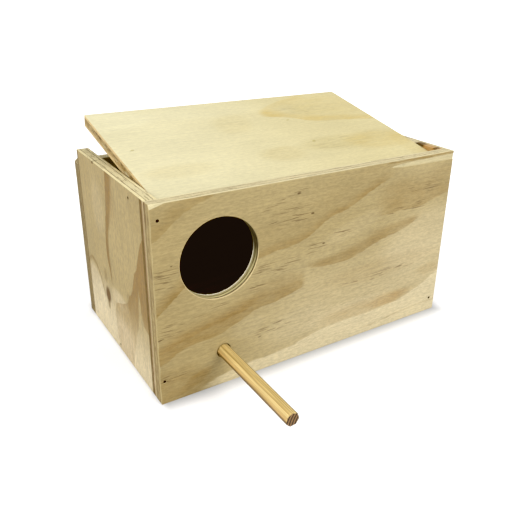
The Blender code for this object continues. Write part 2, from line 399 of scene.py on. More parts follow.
def draw_front(figure):
    """The front's figure: dark rings that climb to the right over wood that pales to the lower right, partly
    in its sapwood and partly by painted light, and the perch's painted shadow.
    """
    ring, patch, g = figure.ring, figure.patch, figure.g
    ring([(-130, 115), (-120, 121), (-110, 129), (-100, 135), (-85, 140)], 18,
         end=-68, taper=16, late=0.5, hold=0.2)
    ring([(-130, 63), (-122, 70), (-112, 78), (-105, 83), (-80, 88)], 14,
         end=-98, taper=10, late=0.75, warm=0.1)
    crest = [(-60, 90), (-52, 90), (-40, 92), (-30, 93), (-20, 94.5), (-12, 97), (-5, 101), (0, 104),
             (10, 109), (20, 111), (30, 115), (40, 120), (50, 124), (57, 127), (80, 133)]
    ring(crest, 9, start=-72, end=66, taper=18, late=0.45, warm=0.15)
    ring(crest, 46, start=-90, end=76, taper=24, late=0.29, hold=0.1)
    ring(
        [(-130, 28), (-122, 31), (-115, 35), (-105, 38), (-95, 39), (-85, 40), (-75, 43), (-65, 47),
         (-55, 51), (-40, 53), (-25, 56), (-10, 59)],
        [(-130, 48), (-120, 56), (-100, 62), (-85, 66), (-70, 71), (-50, 76), (-30, 78), (-10, 74)],
        end=-12, taper=5, hold=0.25, late=0.62, warm=0.1,
    )
    ring([(-130, 38), (-120, 40), (-108, 44), (-96, 47), (-80, 50), (-60, 54), (-40, 60)], 9,
         end=-44, taper=22, hold=0.3, late=0.28, warm=0.15)
    ring(
        [(-20, 75), (-12, 73), (0, 71), (10, 70.5), (20, 70), (30, 71), (40, 74), (50, 78), (60, 80),
         (70, 82), (80, 84.5), (90, 88), (100, 93)],
        [(-20, 78), (-15, 79), (10, 81), (25, 85), (40, 89), (50, 93), (60, 94), (75, 95), (100, 97)],
        start=-17, end=102, taper=16, hold=0.35, late=0.62, warm=0.1,
    )
    ring(
        [(30, 99), (60, 100), (90, 100), (105, 102), (115, 105), (125, 107), (135, 109)],
        36, start=42, taper=34, hold=0.3, late=0.42, warm=0.1,
    )
    patch(72, 117, 22, 12, 0.1, late=0.14)
    patch(66, 104, 12, 4, 0.1, late=0.25)
    border = [(-110, 1), (-98, 3.5), (-90, 6), (-80, 8.5), (-60, 10.5), (-40, 11), (-20, 13), (-10, 15.5),
              (0, 17.5), (30, 18.5), (60, 18.5), (75, 20), (90, 23), (100, 26), (110, 30), (120, 35),
              (135, 42)]
    ring(border, [(-130, -25), (130, -25)], start=-104, taper=16, hold=0.96, soft=1.6, sap=0.76)
    ring(border, 15, start=-10, end=112, taper=34, hold=0.1, soft=1.2, late=0.03, warm=0.2)
    patch(70, 25, 24, 5, 0.05, warm=0.3)
    patch(115, 42, 14, 5, warm=0.2)
    # Darker at the lower left corner; the diagonal patch beside it is the perch's painted shadow
    patch(-116, 8, 30, 18, late=0.42)
    patch(-101, 11, 13, 5, 0.45, late=0.3, warm=0.1)
    for u, v, half_u, half_v in (
        (-21, 131.3, 1.8, 1.0), (2, 89.8, 1.4, 0.9), (-57, 69.3, 3, 0.5), (-51, 28.8, 1.6, 0.5),
        (-125, 50, 2.6, 0.6), (-115, 100, 1, 0.7), (-9, 114.5, 1.5, 0.45), (-42, 113.5, 4, 0.35),
        (18, 95, 4, 0.4),
    ):
        patch(u, v, half_u, half_v, 0.1, spot=1.0)
    ring([(50, 5), (60, 5), (80, 7), (100, 8), (135, 9)], 2.5, start=40, taper=14, late=0.3, hold=0.2)
    # A thin dark line painted just under the top edge, over the splinter
    ring([(50, 139.5), (135, 139.5)], 1.2, start=56, taper=6, soft=0.2, hold=0.9, late=0.75)
    for u, v, half_u, half_v, slope in (
        (-25, 115, 19, 9, 0.0), (-30, 129, 22, 1.6, 0.32), (-119, 92, 10, 10, 0.1), (-40, 80, 24, 6, 0.05),
        (-6, 88, 16, 4, 0.1), (18, 94.5, 10, 2, 0.05), (-54, 69, 9, 1.8, 0.05), (-90, 62, 14, 3, 0.1),
        (-116, 55, 10, 6, 0.2), (62, 51, 38, 3, 0.02), (-40, 33, 16, 4, 0.1), (-117, 19, 13, 3, 0.05),
        (85, 102, 26, 4, 0.05), (100, 117, 20, 6, 0.0),
    ):
        patch(u, v, half_u, half_v, slope, dash=0.95)
    patch(20, 38, 62, 16, dash=0.25)
    patch(48, 27, 46, 4, 0.03, warm=0.16)
    patch(62, 56, 60, 9, 0.02, late=0.06, warm=0.12)
    patch(36, 22, 44, 12, sap=0.22)
    patch(-60, 40, 14, 8, 0.1, sap=0.12)
    patch(-20, 30, 30, 12, 0.1, sap=0.12)
    # Painted light: darker towards the left end, paler towards the right and the lower right
    figure.lay(g.rise(figure.along, -0.075, -0.125), late=0.2)
    right = g.rise(figure.along, -0.09, 0.0)
    figure.lay(g.times(right, g.rise(figure.across, 0.105, 0.03)), sap=0.42)
    figure.lay(g.rise(figure.along, 0.02, 0.1), sap=0.1)
    patch(104, 74, 46, 26, 0.15, sap=0.3)
    patch(30, 96, 30, 8, 0.25, sap=0.14)


def draw_left(figure):
    """The left side's figure: a stripe, a heartwood arch with a pale wedge, the arc round the knot, and
    painted light that pales it towards the bottom.
    """
    ring, patch, g = figure.ring, figure.patch, figure.g
    ring(
        [(50, -10), (60, -11), (70, -14), (80, -15), (95, -13), (105, -10), (120, -6), (140, -3),
         (145, -2.5)],
        [(50, -7.5), (60, -7.5), (90, -6), (100, -1.5), (110, 3), (120, 7), (130, 10), (140, 12), (145, 13)],
        start=50, taper=12, hold=0.42, soft=0.6, late=1.15, warm=0.42,
    )
    wedge = ring(
        [(-5, 24), (0, 25), (12, 28), (25, 33), (35, 37), (42, 41), (52, 43), (62, 44), (72, 46), (80, 47)],
        [(-5, 90), (0, 90), (40, 86), (46, 64), (48, 55), (55, 50), (65, 48.5), (72, 47), (80, 47.4)],
        end=74, taper=3, hold=0.95, soft=1.2,
    )
    arch = ring(
        [(-5, -3), (0, -4), (15, -8), (28, -8), (36, -6), (41, -2), (44, 5), (47, 12), (51, 20), (55, 24),
         (60, 27), (65, 32), (74, 37), (82, 40), (88, 45), (98, 50), (108, 55), (115, 60), (125, 66)],
        [(-5, 100), (145, 100)],
        end=126, taper=8, hold=0.9, soft=1.6,
    )
    arch = g.times(arch, g.invert(wedge))
    figure.lay(arch, warm=0.3)
    figure.lay(g.times(arch, g.rise(figure.along, 0.025, 0.085)), late=1.05, warm=0.35)
    u, z = figure.across, figure.along
    top = g.curve(u, [(-75, 40), (-66, 50), (-60, 56), (-54, 59), (-48, 58), (-42, 55), (-36, 50), (-32, 43),
                      (-29, 38), (-20, 30)])
    below = g.less(top, z)
    left_of_knot = g.rise(u, -0.027, -0.031)
    arc = g.times(g.rise(below, -0.0005, 0.0008), g.rise(below, 0.0055, 0.001), left_of_knot)
    figure.lay(arc, late=0.6, warm=0.2)
    inside_arc = g.times(g.rise(below, 0.002, 0.012), left_of_knot, g.rise(u, -0.068, -0.058))
    figure.lay(inside_arc, sap=0.4)
    # Painted light: paler over the lowest 62 mm, as light thrown up from the floor would leave it
    figure.lay(g.rise(z, 0.062, 0.004), sap=0.85)
    patch(46, 6, 7, 18, sap=0.35)
    patch(14, 12, 18, 18, sap=0.45, warm=0.05)
    patch(34, -50, 14, 12, late=0.12)
    patch(130, -55, 16, 14, late=0.16)
    patch(130, 52, 16, 14, late=0.12)
    patch(108, -26, 22, 14, sap=0.16)
    patch(126, 3, 22, 10, warm=0.2)
    patch(22, -30, 26, 34, sap=0.25)
    patch(40, -69, 20, 6, warm=0.3, late=0.3)
    patch(31, -21, 5, 2.6, late=0.6)
    patch(54, -23, 6, 3.4, late=0.4)
    patch(55, 26, 8, 4, late=0.3)


def draw_lid(figure):
    """The lid's figure: a warm heartwood V that opens to the right, over pale wood that yellows that way, and
    painted light that pales it towards the left.
    """
    ring, patch, g = figure.ring, figure.patch, figure.g
    ring(
        [(10, 84), (18, 79), (26, 76), (35, 73), (45, 68), (52, 63), (60, 60), (75, 57.5), (90, 55),
         (105, 53), (120, 50)],
        [(10, 86), (18, 92), (26, 93), (35, 89), (45, 84), (60, 78), (75, 73), (90, 69), (120, 64)],
        start=15, hold=0.35, taper=11, soft=1.6, warm=0.6, late=0.12,
    )
    ring(
        [(10, 86), (18, 91), (25, 95), (35, 100), (45, 105), (55, 109), (70, 114), (90, 118)],
        -18, start=17, end=84, hold=0.2, taper=12, soft=2.0, warm=0.36,
    )
    patch(32, 84, 12, 8, -0.1, warm=0.3)
    patch(88, 86, 44, 30, warm=0.25, late=0.09)
    patch(84, 100, 12, 4, 0.1, late=0.16)
    patch(66, 84, 30, 12, -0.15, late=0.14, dash=0.3)
    patch(54, 20, 36, 12, late=0.26, warm=0.12, dash=0.3)
    patch(-2, 15, 20, 12, late=0.07, warm=0.18, dash=0.16)
    patch(-14, 72, 18, 18, 0.2, late=0.05, warm=0.14, dash=0.16)
    patch(-86, 13, 28, 10, late=0.06, warm=0.12)
    patch(-20, 102, 56, 16, sap=0.2)
    patch(92, 16, 34, 16, warm=0.42, late=0.1)
    patch(112, 0, 12, 26, warm=0.25)
    # Painted light: the lid pales towards its left end, as if lit more from that side
    figure.lay(g.rise(figure.along, 0.08, -0.11), sap=0.85)
    patch(-110, 100, 40, 16, sap=0.3)
    for u, v in ((-105, 50), (36, 68), (34, 27)):
        patch(u, v, 1.8, 1.2, 0.3, late=0.9)


# Colours of the sanded faces: early wood, late wood, heartwood, and sapwood, whose colour also carries
# painted light
FACE_COLOURS = {
    "front_panel": ((0.41, 0.317, 0.146), (0.285, 0.192, 0.066), (0.385, 0.235, 0.08), (0.65, 0.55, 0.333)),
    "left_side_panel": (
        (0.42, 0.32, 0.148), (0.212, 0.138, 0.042), (0.335, 0.205, 0.072), (0.70, 0.59, 0.375),
    ),
    "lid_panel": ((0.61, 0.53, 0.28), (0.45, 0.38, 0.155), (0.575, 0.445, 0.165), (0.69, 0.635, 0.40)),
}
HIDDEN_COLOURS = ((0.46, 0.36, 0.18), (0.31, 0.21, 0.09), (0.38, 0.24, 0.10), (0.62, 0.51, 0.31))

# How strong each board's fine grain is, and the colour of the edges that cut its face grain
GRAIN_STRENGTHS = {"lid_panel": 0.52, "left_side_panel": 2.1, "front_panel": 1.1}
END_COLOURS = {
    "front_panel": (0.445, 0.338, 0.148),
    "left_side_panel": (0.74, 0.64, 0.355),
    "right_side_panel": (0.70, 0.60, 0.35),
    "back_panel": (0.275, 0.205, 0.085),
    "floor_panel": (0.42, 0.32, 0.16),
    "lid_panel": (0.68, 0.51, 0.245),
}
SPLIT_WOOD = (0.58, 0.49, 0.275)
BORE_LIP = (0.74, 0.585, 0.30)
BORE_WALL = (0.64, 0.55, 0.265)
BORE_LINE = (0.10, 0.058, 0.02)
BORE_SHADE = (0.06, 0.045, 0.022)
FRAYED = (0.97, 0.90, 0.69)
GAP_LIGHT = (0.50, 0.27, 0.085)
SMEAR = (0.41, 0.285, 0.15)
JOINT_SHADE = (0.15, 0.09, 0.02)
SOCKET_SHADE = (0.09, 0.048, 0.016)
END_DIRT = (0.17, 0.10, 0.035)
LID_CORE = (0.33, 0.215, 0.075)
LID_LINE = (0.13, 0.075, 0.025)
GREY_VENEER = (0.30, 0.25, 0.14)
TORN_WOOD = (0.1, 0.05, 0.006)

# The knot's place, and the half sizes, colours and strengths of its dark bark ring and its brown heart
KNOT_PLACE = (38.8, -21)
KNOT_PARTS = (((7.2, 6), (0.125, 0.062, 0.012), 0.92), ((4, 2.8), (0.17, 0.085, 0.026), 0.6))

# Dark torn places in the sides' top edges, and the rust round a nail: height, place and half sizes
TEARS = {
    "left_side_panel": ((140.6, 29, 1.1, 2.0), (135.5, -40.8, 1.1, 1.3)),
    "right_side_panel": ((140.8, -46.5, 2.2, 5.5), (141.5, -63.4, 1.2, 2.0)),
}

# Painted shade darkens a side board's face this far from its joints; a glue smear lies by the front
JOINT_MARK_WIDTH = 3.9 * MM
DRAWINGS = {"front_panel": draw_front, "left_side_panel": draw_left, "lid_panel": draw_lid}

# Where the arches of each board's plain figure peak, along and across its grain, and how wide they are
ARCHES = {
    "front_panel": (150, 60, 11),
    "left_side_panel": (190, 10, 9),
    "right_side_panel": (-60, -20, 10),
    "back_panel": (-190, 75, 12),
    "floor_panel": (160, 20, 13),
    "lid_panel": (-180, 40, 14),
}

# The dowel: its clean side, the painted shade on its lower left side, ring lines, dark strands and
# the painted shade along its edges, and the early and late wood of its end
DOWEL_SIDE = (0.745, 0.56, 0.225)
DOWEL_LOWER_SHADE = (0.58, 0.31, 0.085)
DOWEL_LINE = (0.34, 0.19, 0.045)
DOWEL_STRAND = (0.42, 0.27, 0.07)
DOWEL_SHADED = (0.13, 0.075, 0.022)
DOWEL_END = ((0.29, 0.155, 0.056), (0.034, 0.014, 0.003))

# Bare and rusty steel
NAIL_COLOURS = ((0.024, 0.011, 0.002), (0.045, 0.019, 0.003))


def new_material(name, roughness):
    material = bpy.data.materials.new(name)
    material.use_nodes = True
    shader = material.node_tree.nodes["Principled BSDF"]
    shader.inputs["Roughness"].default_value = roughness
    return material, Graph(material.node_tree), shader


def dress(g, shader, colour, roughness, height):
    """Joins a colour, a roughness and a relief to the shader."""
    made = g.node("ShaderNodeBump")
    g.fill((made.inputs["Distance"], made.inputs["Height"]), (1.0, height))
    sockets = [shader.inputs[name] for name in ("Base Color", "Roughness", "Normal")]
    g.fill(sockets, (colour, roughness, made.outputs[0]))


class Ply:
    """One board's three-ply in the making: its node tree, the masks of its parts and its colour so far.

    low and high are the board's corners. A board that is turned is read in its own frame, by pivot and angle.
    """

    def __init__(self, name, low, high, turned=None):
        grain, cross, layer, outward = board_axes(name)
        self.name = name
        self.material, self.g, self.shader = new_material(name + "_three_ply", 0.62)
        self.shader.inputs["Specular IOR Level"].default_value = 0.25
        g = self.g
        source = g.node("ShaderNodeTexCoord")
        place = source.outputs["Object"]
        if turned:
            own = g.node("ShaderNodeMapping", vector_type="TEXTURE")
            own.inputs["Location"].default_value, own.inputs["Rotation"].default_value = turned
            g.feed(own.inputs["Vector"], place)
            place = own.outputs[0]
            low, high = low - turned[0], high - turned[0]
        self.low, self.high = low, high
        parts = g.split(place)
        self.along, self.across = parts[grain], parts[cross]
        face = high[layer] if outward > 0 else low[layer]
        self.depth = g.math("MULTIPLY_ADD", parts[layer], -outward, face * outward)
        self.end = g.rise(g.size(g.split(source.outputs["Normal"])[grain]), 0.5, 0.9)
        self.outer = g.rise(self.depth, SHEET * 0.45, SHEET * 0.4)
        self.flat = (self.along, self.across)
        self.places = (*self.flat, self.depth)
        self.where = {"Along": self.along, "Across": self.across, "Depth": self.depth}
        self.layers = g.use("ply_layers", **self.where, Thickness=SHEET)
        self.raw = self.layers["Raw"]
        self.torn = 0.0

    def paint(self, pigment, *masks):
        """Lays a colour over the board's colour so far, where all the masks are."""
        self.colour = self.g.mix(self.g.times(*masks), self.colour, pigment)

    def band(self, low, high, out_low=0.0, out_high=1.0):
        """A mask across the layers, by depth in millimetres."""
        return self.g.ramp(self.depth, low, high, out_low, out_high)

    def figure_faces(self):
        """The sanded faces: the outer one's drawn figure, where it has one, or else a plain figure."""
        g, name, outer = self.g, self.name, self.outer
        grain = g.use("fine_grain", **self.where, Strength=GRAIN_STRENGTHS.get(name, 1.0))
        self.streaks, self.pores = grain["Streaks"], grain["Pores"]
        peak, middle, spacing = (place * MM for place in ARCHES[name])
        plain = g.use("arched_rings", **self.where, Peak=peak, Middle=middle, Spacing=spacing)["Late"]
        channels = {"late": g.times(plain, 0.6), "warm": g.times(plain, 0.2), "sap": 0.0}
        dash = g.times(self.pores, 0.25)
        early, late, warm, sap = HIDDEN_COLOURS
        mirrored = g.times(self.across, -1.0) if name == "left_side_panel" else self.across
        if name in DRAWINGS:
            figure = Figure(g, self.along, mirrored)
            DRAWINGS[name](figure)
            for channel, value in channels.items():
                channels[channel] = g.mix_value(outer, value, figure.total(channel))
            dash = g.mix_value(outer, 0.0, figure.total("dash"))
            dash = g.most(g.times(dash, self.pores), g.times(figure.total("spot"), outer, 1.4))
            early, late, warm, sap = FACE_COLOURS[name]
        self.colour = g.use(
            "veneer_face", Streaks=self.streaks, Late=channels["late"], Warm=channels["warm"],
            Sap=channels["sap"], Dash=dash,
            Early_colour=early, Late_colour=late, Warm_colour=warm, Sap_colour=sap,
        )["Colour"]
        if name == "left_side_panel":
            for half, pigment, strength in KNOT_PARTS:
                knot = g.oval(self.along, mirrored, *KNOT_PLACE, *half, 0.05)
                self.paint(pigment, knot, outer, strength)

    def smear_and_shade_joints(self):
        """The glue smear along a side board's joint with the front, and the painted shade along its joints
        with the front and the back.
        """
        g = self.g
        patchy = g.field(self.flat, (150, 300), 3.0, 0.6)
        from_rear, from_front = g.less(self.high.y, self.across), g.less(self.across, self.low.y)
        smear = g.rise(from_front, JOINT_MARK_WIDTH * 0.8, JOINT_MARK_WIDTH * 0.6)
        self.paint(SMEAR, smear, self.outer, g.rise(patchy, 0.25, 0.6, 0.5, 0.95))
        # Painted shade in the joints: a dark line just off the front joint, and a band by the back one
        from_line = g.gap(g.add(from_front, g.times(patchy, 1.2 * MM)), JOINT_MARK_WIDTH + 0.6 * MM)
        rear = g.rise(from_rear, JOINT_MARK_WIDTH, JOINT_MARK_WIDTH * 0.3)
        gap_shade = g.most(g.ramp(from_line, 2.7, 1.3), rear)
        self.paint(JOINT_SHADE, gap_shade, g.rise(patchy, 0.3, 0.6, 0.75, 0.99))

    def bare_edges(self):
        """The raw edges, with their layers and glue lines."""
        self.edges = self.g.use(
            "ply_section", **self.where, Core=self.layers["Core"], Glue=self.layers["Glue"],
            End=self.end, Torn=self.torn, End_colour=END_COLOURS[self.name],
        )
        self.paint(self.edges["Colour"], self.raw)

    def from_hole(self, hole):
        return self.g.length(self.g.less(self.along, hole["x"]), self.g.less(self.across, hole["z"]))

    def finish_front(self):
        """The front's dirty left end, its bores, the painted shade round the perch's root, and the wood under
        its lost splinter.
        """
        g = self.g
        blotch = g.field(self.places, (130, 150, 500), 3.0, 0.6)
        dirty = g.times(self.band(6, 7), g.rise(blotch, 0.3, 0.6, 0.6, 0.95),
                        g.ramp(self.across, 120, 138, 0.5, 1.0))
        mottled = g.times(self.band(2, 2.8), g.rise(blotch, 0.42, 0.62, 0.05, 0.42))
        self.paint(END_DIRT, g.most(dirty, mottled), self.end, self.raw)
        self.finish_bore()
        # Painted shade in a ring round the perch's root, where it goes into the board
        ring_shade = g.rise(self.from_hole(SOCKET), SOCKET["shade_reach"], SOCKET["shade_reach"] - 0.6 * MM)
        self.paint(SOCKET_SHADE, ring_shade, self.outer, 0.85)
        flecks = g.field(self.flat, (90, 900), 3.0, 0.6, shift=5.0)
        split_wood = g.shade(SPLIT_WOOD, g.rise(flecks, 0.3, 0.7, 0.82, 1.1))
        self.paint(split_wood, self.band(0.9, 0.7), self.raw, g.invert(self.torn), g.invert(self.end),
                   g.ramp(self.along, 64, 92, 0.45, 0.8))

    def finish_bore(self):
        """The entrance's wall: its pale lip, its glue lines, the painted shade on its upper right and its
        frayed rim.
        """
        g = self.g
        patchy = g.field(self.places, (130, 130, 500))
        wavy = g.add(self.depth, g.times(g.less(patchy, 0.5), 1.2 * MM))
        wall = g.mix(self.band(1.3, 1.0), BORE_WALL, BORE_LIP)
        lines = g.most(
            g.ramp(g.gap(wavy, 1.7 * MM), 0.85, 0.4),
            g.times(g.ramp(g.gap(wavy, 4.3 * MM), 0.7, 0.3), 0.9),
        )
        wall = g.mix(g.times(lines, g.rise(patchy, 0.3, 0.6, 0.6, 1.0)), wall, BORE_LINE)
        height = g.less(self.across, ENTRANCE["z"])
        # Painted shade on the upper right of the wall
        to_right = g.ramp(g.less(self.along, ENTRANCE["x"]), 6, 16)
        upper_right_shade = g.times(to_right, g.ramp(height, -16, 4), g.rise(patchy, 0.25, 0.6, 0.7, 0.95))
        shade_start = g.most(self.band(0.3, 0.9), g.ramp(height, -4, 8))
        wall = g.mix(g.times(upper_right_shade, shade_start), wall, BORE_SHADE)
        rim = g.rise(self.depth, SHEET - BREAK_DEPTH - 1.1 * MM, SHEET - BREAK_DEPTH - 0.6 * MM)
        pale = g.times(rim, g.ramp(height, 6, -8), g.rise(patchy, 0.35, 0.5, 0.6, 1.0))
        wall = g.mix(pale, wall, FRAYED)
        self.paint(g.shade(wall, g.rise(patchy, 0.2, 0.8, 0.86, 1.12)), self.torn)

    def finish_lid(self):
        """The lid's sawn ends: their brown core, and the dark line along it."""
        g = self.g
        ragged = g.field(self.places, (150, 150, 400), 3.0, 0.6)
        core = (self.band(2.2, 2.8), self.band(6.2, 5.4))
        self.paint(LID_CORE, *core, self.raw, self.end, g.rise(ragged, 0.3, 0.6, 0.45, 0.9))
        dark = g.ramp(g.gap(self.depth, 3.4 * MM), 0.9, 0.3)
        self.paint(LID_LINE, dark, self.raw, self.end, g.rise(ragged, 0.48, 0.6))

    def finish_right_side(self):
        """The right side's painted warm light on its inner face, below the gap by the lid, and the greyed
        edge of its outer veneer.
        """
        # Painted warm light on the inner face, where light falls in past the lid
        self.paint(GAP_LIGHT, self.g.oval(*self.flat, 138, -60, 10, 16), self.g.invert(self.outer), 0.8)
        self.paint(GREY_VENEER, self.band(1.4, 0.7), self.raw, self.end, 0.6)

    def close(self):
        """Joins the colour, the roughness and the relief to the shader."""
        g = self.g
        tone = g.field(self.places, (16, 30, 30))
        colour = g.shade(self.colour, g.rise(tone, 0.2, 0.8, 0.95, 1.05))
        # The figure stays out of the relief, which would work all of it out three times over
        sanded = g.add(g.times(self.streaks, 0.06 * MM), g.times(self.pores, -0.03 * MM))
        relief = g.mix_value(self.raw, sanded, self.edges["Height"])
        dress(g, self.shader, colour, g.rise(self.streaks, 0.3, 0.7, 0.58, 0.72), relief)
        return self.material


def finish_ply(name, low, high, turned=None):
    """A board's three-ply: its figured outer face, its plainer inner face and its raw edges."""
    ply = Ply(name, low, high, turned)
    ply.figure_faces()
    if name == "front_panel":
        radius = ENTRANCE["radius"]
        near = ply.g.rise(ply.from_hole(ENTRANCE), radius + 2.5 * MM, radius + 1.5 * MM)
        ply.torn = ply.g.times(near, ply.raw)
    if "side" in name:
        ply.smear_and_shade_joints()
    ply.bare_edges()
    if name == "front_panel":
        ply.finish_front()
    if name == "lid_panel":
        ply.finish_lid()
    if name == "right_side_panel":
        ply.finish_right_side()
    for tear in TEARS.get(name, ()):
        side = ply.outer if name == "left_side_panel" else ply.g.invert(ply.outer)
        ply.paint(TORN_WOOD, ply.g.oval(*ply.flat, *tear), side, 0.85)
    return ply.close()


def finish_dowel(middle, pith):
    """Straight-grained dowel: growth rings about a far pith, seen as long lines and as arcs on its end.

    Its lower left side is painted darker and orange as painted shade, and both long edges carry painted shade
    lines.
    """
    material, g, shader = new_material("perch_dowel", 0.5)
    source = g.node("ShaderNodeTexCoord")
    places = g.split(source.outputs["Object"])
    x, _, z = places
    radius = g.length(g.less(x, pith.x), g.less(z, pith.z))
    wander = g.field(places, (60, 9, 60))
    share = g.math("FRACT", g.math("DIVIDE", g.add(radius, g.times(wander, 0.9 * MM)), DOWEL_RING))
    late = g.times(g.rise(share, 0.36, 0.56), g.rise(share, 1.0, 0.9))
    line = g.times(g.rise(share, 0.72, 0.88), g.rise(share, 1.0, 0.95))
    thin = g.times(g.rise(share, 0.2, 0.34), g.rise(share, 0.48, 0.4), 0.65)
    end = g.rise(g.size(g.split(source.outputs["Normal"])[1]), 0.55, 0.8)
    fibre = g.field(places, (1100, 22, 1100), 3.0, 0.6)
    strand = g.field(places, (420, 14, 420), roughness=0.6)
    # How far a place lies towards the dowel's upper right side
    sideways = g.add(g.times(x, 0.8), g.times(z, 0.6))
    centre = middle.x * 0.8 + middle.z * 0.6

    def across(start, full):
        return g.rise(sideways, centre + start * MM, centre + full * MM)

    # Painted shade: the lower left half darkens to orange brown, and below, both edges darken
    side = g.mix(g.times(across(-0.2, -4.5), 0.7), DOWEL_SIDE, DOWEL_LOWER_SHADE)
    side = g.mix(g.times(g.most(line, thin), 0.72), side, DOWEL_LINE)
    side = g.mix(g.times(g.rise(strand, 0.5, 0.64), 0.5), side, DOWEL_STRAND)
    shaded = g.most(g.times(across(-3.1, -3.8), 0.85), g.times(across(4.0, 4.4), 0.5))
    side = g.mix(shaded, side, DOWEL_SHADED)
    side = g.shade(side, g.rise(fibre, 0.3, 0.7, 0.82, 1.14))
    cut = g.shade(g.mix(late, *DOWEL_END), g.rise(fibre, 0.3, 0.7, 0.8, 1.15))
    raised = (g.times(fibre, 0.03 * MM), g.times(late, -0.02 * MM), g.times(end, late, 0.08 * MM))
    dress(g, shader, g.mix(end, side, cut), g.rise(fibre, 0.3, 0.7, 0.42, 0.6), g.add(*raised))
    return material


def finish_nail():
    """Bare wire steel, dulled and a little rusty."""
    material, g, shader = new_material("dull_nail_steel", 0.5)
    place = g.node("ShaderNodeTexCoord").outputs["Object"]
    rust = g.rise(g.noise(place, 1400.0, 3.0, 0.6), 0.45, 0.7)
    shader.inputs["Specular IOR Level"].default_value = 0.03
    g.feed(shader.inputs["Metallic"], g.rise(rust, 0.0, 1.0, 0.03, 0.0))
    relief = g.times(g.noise(place, 5200.0), 0.04 * MM)
    dress(g, shader, g.mix(rust, *NAIL_COLOURS), g.rise(rust, 0.0, 1.0, 0.7, 0.9), relief)
    return material


def corners_of(node):
    low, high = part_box(node)
    return Vector(low), Vector(high)


def take(piece):
    """Makes the piece the one in hand."""
    bpy.ops.object.select_all(action="DESELECT")
    bpy.context.view_layer.objects.active = piece
    piece.select_set(True)


def open_edit(piece):
    take(piece)
    bpy.ops.object.mode_set(mode="EDIT")


def close_edit():
    bpy.ops.object.mode_set(mode="OBJECT")


def pick(piece, kind, test):
    """Selects the vertices, edges or faces of the piece in hand that pass the test."""
    bpy.ops.mesh.select_mode(type=kind)
    bpy.ops.mesh.select_all(action="DESELECT")
    shape = bmesh.from_edit_mesh(piece.data)
    for item in {"VERT": shape.verts, "EDGE": shape.edges, "FACE": shape.faces}[kind]:
        if test(item):
            item.select_set(True)
    bmesh.update_edit_mesh(piece.data)


def pick_all():
    bpy.ops.mesh.select_all(action="SELECT")


def settle(name):
    """Names the primitive in hand and takes its place, turn and size into its mesh."""
    bpy.ops.object.transform_apply(location=True, rotation=True, scale=True)
    piece = bpy.context.object
    piece.name = name
    return piece


def saw_block(name, low, high):
    bpy.ops.object.select_all(action="DESELECT")
    bpy.ops.mesh.primitive_cube_add(size=1, location=(low + high) / 2, scale=high - low)
    return settle(name)


def mark_cells(piece, axis, length):
    """Cuts the piece into cells of about CELL along an axis."""
    def runs(edge):
        way = edge.verts[1].co - edge.verts[0].co
        return abs(way[axis]) > 0.9 * way.length

    pick(piece, "EDGE", runs)
    bpy.ops.mesh.subdivide(number_cuts=round(length / CELL) - 1)


def slice_at(place, axis):
    """Marks a line round the piece in hand, square to an axis."""
    normal = Vector(int(i == axis) for i in range(3))
    pick_all()
    bpy.ops.mesh.bisect(plane_co=normal * place, plane_no=normal)


def trim(place, normal):
    """Takes off what lies beyond a plane, and closes the cut."""
    pick_all()
    bpy.ops.mesh.bisect(plane_co=place, plane_no=normal, clear_outer=True, use_fill=True)


def wear(piece, name, test, amount, grain_size):
    """Wears the vertices that pass the test inwards, unevenly, by up to amount."""
    open_edit(piece)
    pick(piece, "VERT", test)
    piece.vertex_groups.new(name=name)
    bpy.ops.object.vertex_group_assign()
    close_edit()
    cloud = bpy.data.textures.new(name, "CLOUDS")
    cloud.noise_scale = grain_size
    worn = piece.modifiers.new(name, "DISPLACE")
    worn.texture = cloud
    worn.texture_coords = "LOCAL"
    worn.vertex_group = name
    worn.mid_level = 1.0
    worn.strength = amount
    bpy.ops.object.modifier_apply(modifier=name)


def saw_board(name, low, high):
    """A sanded board with worn arrises and with a fine groove along each glue line of its raw edges."""
    grain, cross, layer, outward = board_axes(name)
    board = saw_block(name + "_board", low, high)
    open_edit(board)
    for axis in (grain, cross):
        mark_cells(board, axis, high[axis] - low[axis])
    outer = high[layer] if outward > 0 else low[layer]
    for depth in GLUE_DEPTHS:
        for step in (-GLUE_GROOVE, 0, GLUE_GROOVE):
            slice_at(outer - outward * (depth + step), layer)
    pick(board, "EDGE", lambda edge: edge.calc_face_angle(0) > 0.5)
    bpy.ops.mesh.bevel(offset=ARRIS, segments=2, affect="EDGES", clamp_overlap=False)
    close_edit()

    def margin(vert, axis):
        return min(vert.co[axis] - low[axis], high[axis] - vert.co[axis])

    def on_arris(vert):
        return sorted(margin(vert, axis) for axis in range(3))[1] < ARRIS * 1.01

    def on_glue_line(vert):
        below = abs(outer - vert.co[layer])
        near = min(abs(below - depth) for depth in GLUE_DEPTHS)
        return near < GLUE_GROOVE / 2 and min(margin(vert, grain), margin(vert, cross)) < ARRIS / 2

    wear(board, "arris_wear", on_arris, ARRIS_WEAR, 6 * MM)
    wear(board, "glue_line_wear", on_glue_line, GROOVE_WEAR, 3 * MM)
    return board


def turn_cutter(name, base, way, stations, sides):
    """A round cutter along way. Its stations are (distance from base, radius), from its inner end out."""
    first, radius = stations[0]
    bpy.ops.object.select_all(action="DESELECT")
    bpy.ops.mesh.primitive_circle_add(
        vertices=sides, radius=radius, fill_type="NGON", location=base + way * first,
        rotation=way.to_track_quat("Z", "Y").to_euler(),
    )
    cutter = settle(name)
    open_edit(cutter)
    pick_all()
    for (last, old), (place, new) in zip(stations, stations[1:]):
        bpy.ops.mesh.extrude_region_move(TRANSFORM_OT_translate={"value": way * (place - last)})
        bpy.ops.transform.resize(value=[new / old] * 3, center_override=base + way * place)
    pick_all()
    bpy.ops.mesh.normals_make_consistent(inside=False)
    close_edit()
    return cutter


